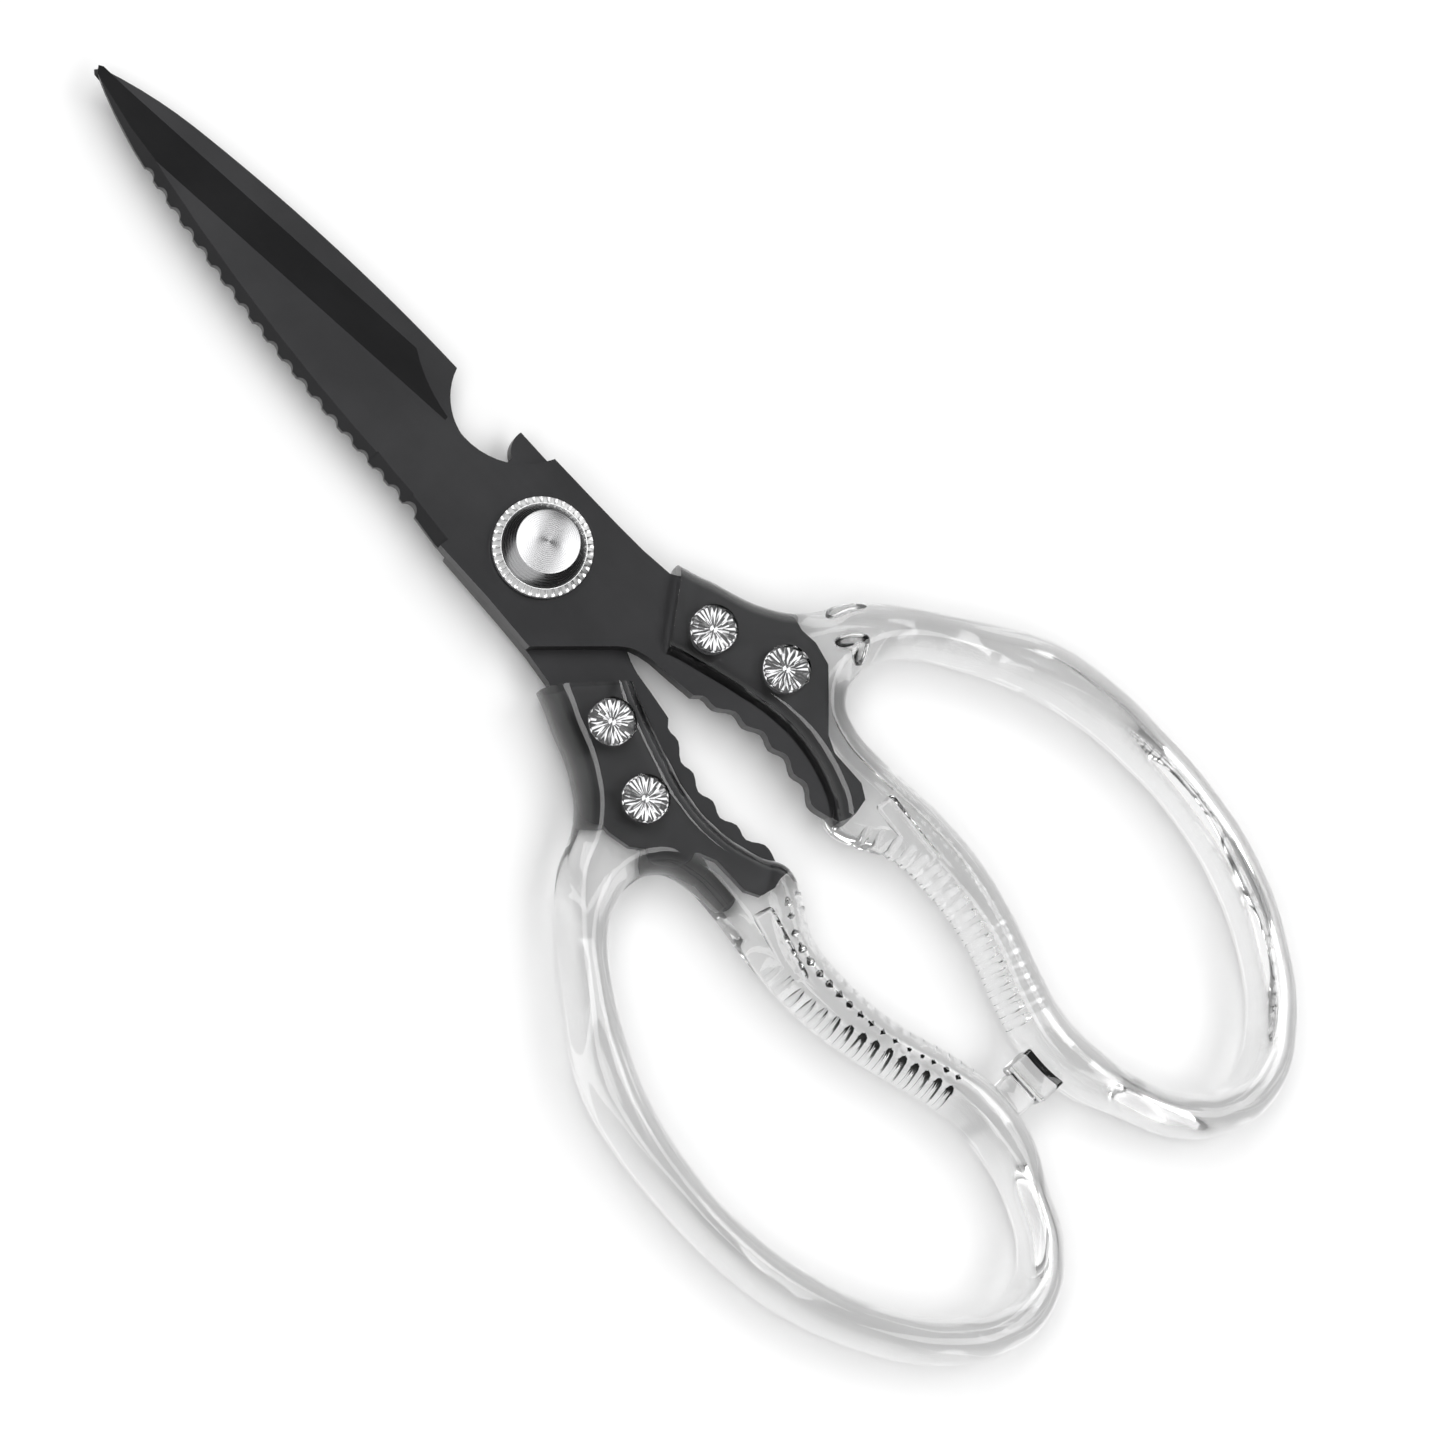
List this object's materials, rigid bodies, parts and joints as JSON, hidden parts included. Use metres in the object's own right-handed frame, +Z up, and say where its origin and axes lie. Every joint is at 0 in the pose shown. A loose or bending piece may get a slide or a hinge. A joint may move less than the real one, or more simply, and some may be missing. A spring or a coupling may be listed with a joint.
{
  "type": "poultry shears",
  "caption": "Kitchen shears with black coated blades, a reeded pivot nut and clear loop handles; scaler spine, bottle-opener notch and nutcracker jaw.",
  "frame": {"origin": "on the pivot axis, at the underside of the pivot screw's head, which is the face the shears lie on", "axes": "+Y along the closed blades to their tips, +X to the front blade's handle, +Z up through the pivot nut"},
  "size_m": [0.1032, 0.2247, 0.0147],
  "materials": {
    "black_steel": "black PVD coating on ground stainless steel, satin",
    "clear_plastic": "clear moulded polycarbonate, glossy",
    "turned_steel": "turned stainless steel, polished, spun face",
    "polished_steel": "diamond-cut stainless steel, bright",
    "spring_steel": "rolled spring steel"
  },
  "bodies": {
    "back_half": {"back_blade": "black_steel", "left_handle": "clear_plastic", "pivot_screw": "turned_steel", "spring_washer": "spring_steel", "rivet_head_3": "polished_steel", "rivet_head_4": "polished_steel", "rivet_pin_3": "polished_steel", "rivet_pin_4": "polished_steel"},
    "front_half": {"front_blade": "black_steel", "right_handle": "clear_plastic", "rivet_head_1": "polished_steel", "rivet_head_2": "polished_steel", "rivet_pin_1": "polished_steel", "rivet_pin_2": "polished_steel"},
    "nut": {"pivot_nut": "turned_steel"}
  },
  "joints": [
    {"name": "blade_pivot", "type": "hinge", "parent": "back_half", "child": "front_half", "pos_m": [0, 0, 0.006], "axis": [0, 0, 1], "range_deg": [0, 100]},
    {"name": "nut_turn", "type": "hinge", "parent": "back_half", "child": "nut", "pos_m": [0, 0, 0.009], "axis": [0, 0, 1], "range_deg": [-30, 90]}
  ]
}
